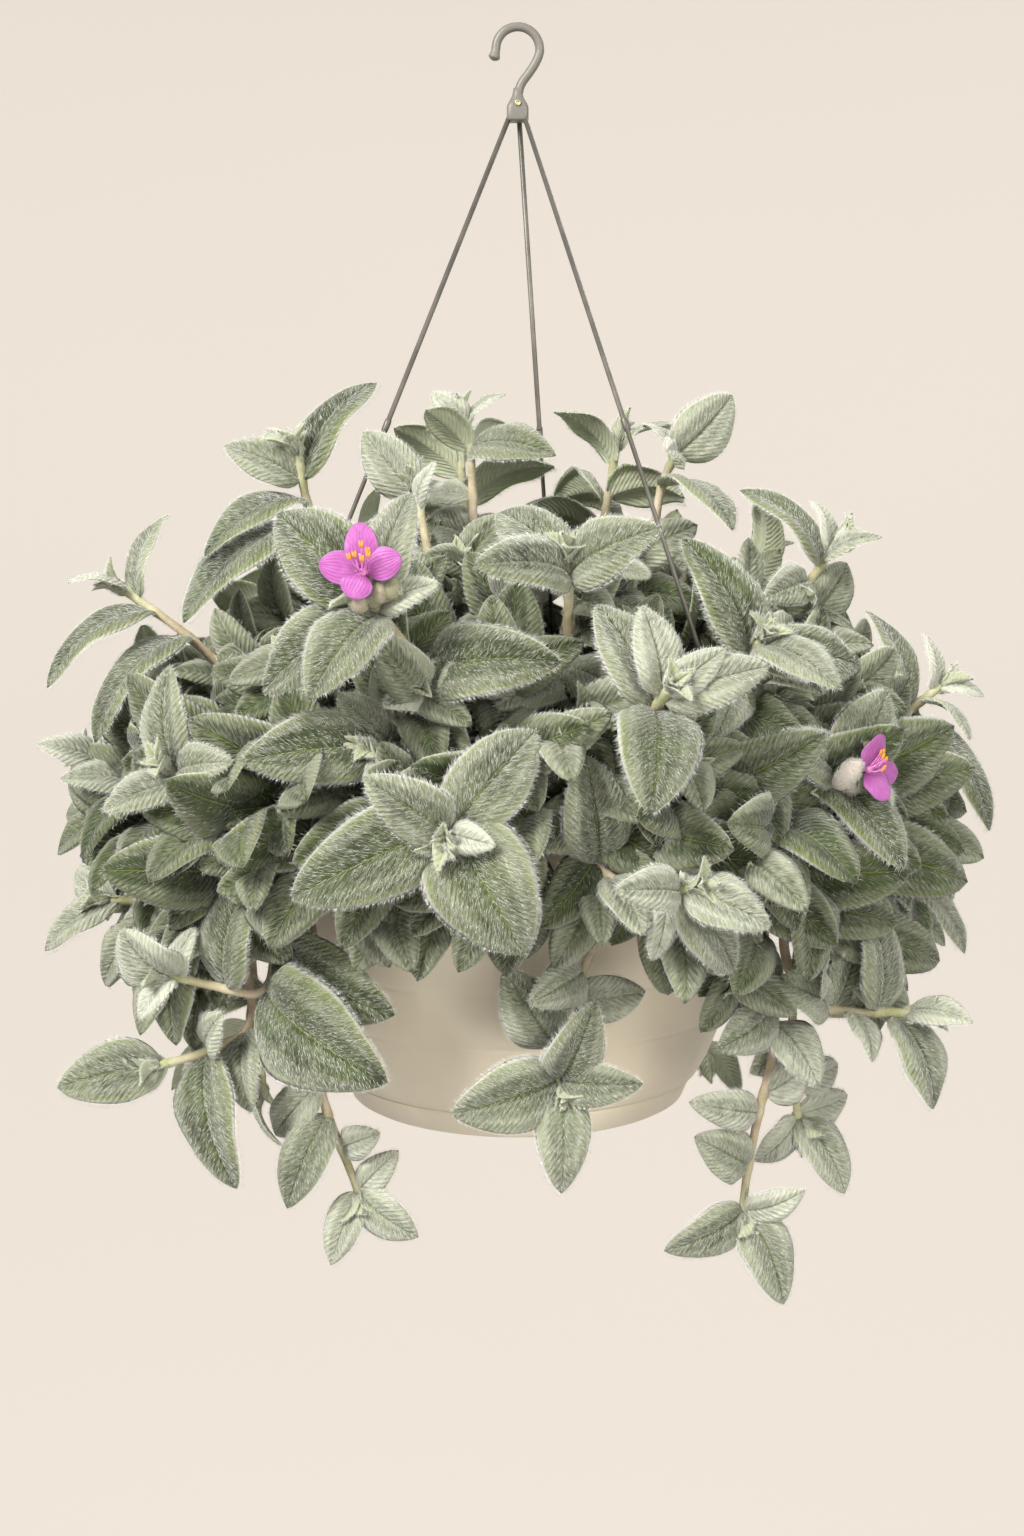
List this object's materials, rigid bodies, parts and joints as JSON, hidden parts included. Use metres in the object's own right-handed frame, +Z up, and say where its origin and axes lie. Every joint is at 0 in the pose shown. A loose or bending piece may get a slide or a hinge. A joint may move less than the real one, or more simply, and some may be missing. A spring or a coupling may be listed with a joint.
{
  "type": "potted tradescantia",
  "caption": "Woolly silver-leaved tradescantia with magenta blooms, growing over the rim of a cream plastic hanging basket on a wire hanger with a moulded hook.",
  "frame": {"origin": "inside top of the hook, the point that the basket hangs from", "axes": "+Z up, -Y towards the front of the basket, +X to its right seen from the front"},
  "size_m": [0.4188, 0.4145, 0.5379],
  "materials": {
    "smoke_plastic": "satin moulded plastic, smoky taupe grey",
    "pale_brass": "dull plated pin",
    "smoke_wire": "steel wire in a thin smoky coat",
    "cream_plastic": "matte moulded plastic, warm cream",
    "potting_mix": "moist bark and peat crumb",
    "woolly_leaf": "grey green leaf under a coat of long white hairs",
    "magenta_petal": "thin satin petal",
    "orange_pollen": "powdery pollen on pink threads"
  },
  "bodies": {
    "root": {"hanger_hook": "smoke_plastic", "hook_pin": "pale_brass", "wire_left": "smoke_wire", "wire_right": "smoke_wire", "wire_rear": "smoke_wire", "basket": "cream_plastic", "drip_saucer": "cream_plastic", "soil": "potting_mix", "bloom_front_petals": "magenta_petal", "bloom_front_stamens": "orange_pollen", "bloom_right_petals": "magenta_petal", "bloom_right_stamens": "orange_pollen", "stem_flowering_front": "woolly_leaf", "stem_front_rosette": "woolly_leaf", "stem_centre": "woolly_leaf", "stem_right_of_centre": "woolly_leaf", "stem_right_upper": "woolly_leaf", "stem_front_low": "woolly_leaf", "stem_flowering_right": "woolly_leaf", "stem_right_low": "woolly_leaf", "stem_right_trailing": "woolly_leaf", "stem_right_short_trail": "woolly_leaf", "stem_front_trailing": "woolly_leaf", "stem_left_low": "woolly_leaf", "stem_left_lower": "woolly_leaf", "stem_left_trailing": "woolly_leaf", "stem_top_far_left": "woolly_leaf", "stem_left_upper": "woolly_leaf", "stem_left_shoulder": "woolly_leaf", "stem_left_side": "woolly_leaf", "stem_left_drooping": "woolly_leaf", "stem_left_of_centre": "woolly_leaf", "stem_top_right": "woolly_leaf", "stem_top_far_right": "woolly_leaf", "stem_right_side": "woolly_leaf", "stem_top_centre": "woolly_leaf", "stem_top_left": "woolly_leaf", "stem_right_drooping": "woolly_leaf", "stem_rear_crown_1": "woolly_leaf", "stem_rear_crown_2": "woolly_leaf", "stem_rear_dome_1": "woolly_leaf", "stem_rear_dome_2": "woolly_leaf", "stem_rear_dome_3": "woolly_leaf", "stem_rear_dome_4": "woolly_leaf", "stem_rear_side_1": "woolly_leaf", "stem_rear_side_2": "woolly_leaf", "stem_rear_side_3": "woolly_leaf", "stem_rear_side_4": "woolly_leaf", "stem_rear_side_5": "woolly_leaf", "stem_rear_low_1": "woolly_leaf", "stem_rear_low_2": "woolly_leaf", "stem_rear_low_3": "woolly_leaf", "stem_rear_low_4": "woolly_leaf", "stem_rear_low_5": "woolly_leaf", "stem_rear_trail_1": "woolly_leaf", "stem_rear_trail_2": "woolly_leaf", "stem_rear_trail_3": "woolly_leaf"}
  },
  "joints": []
}
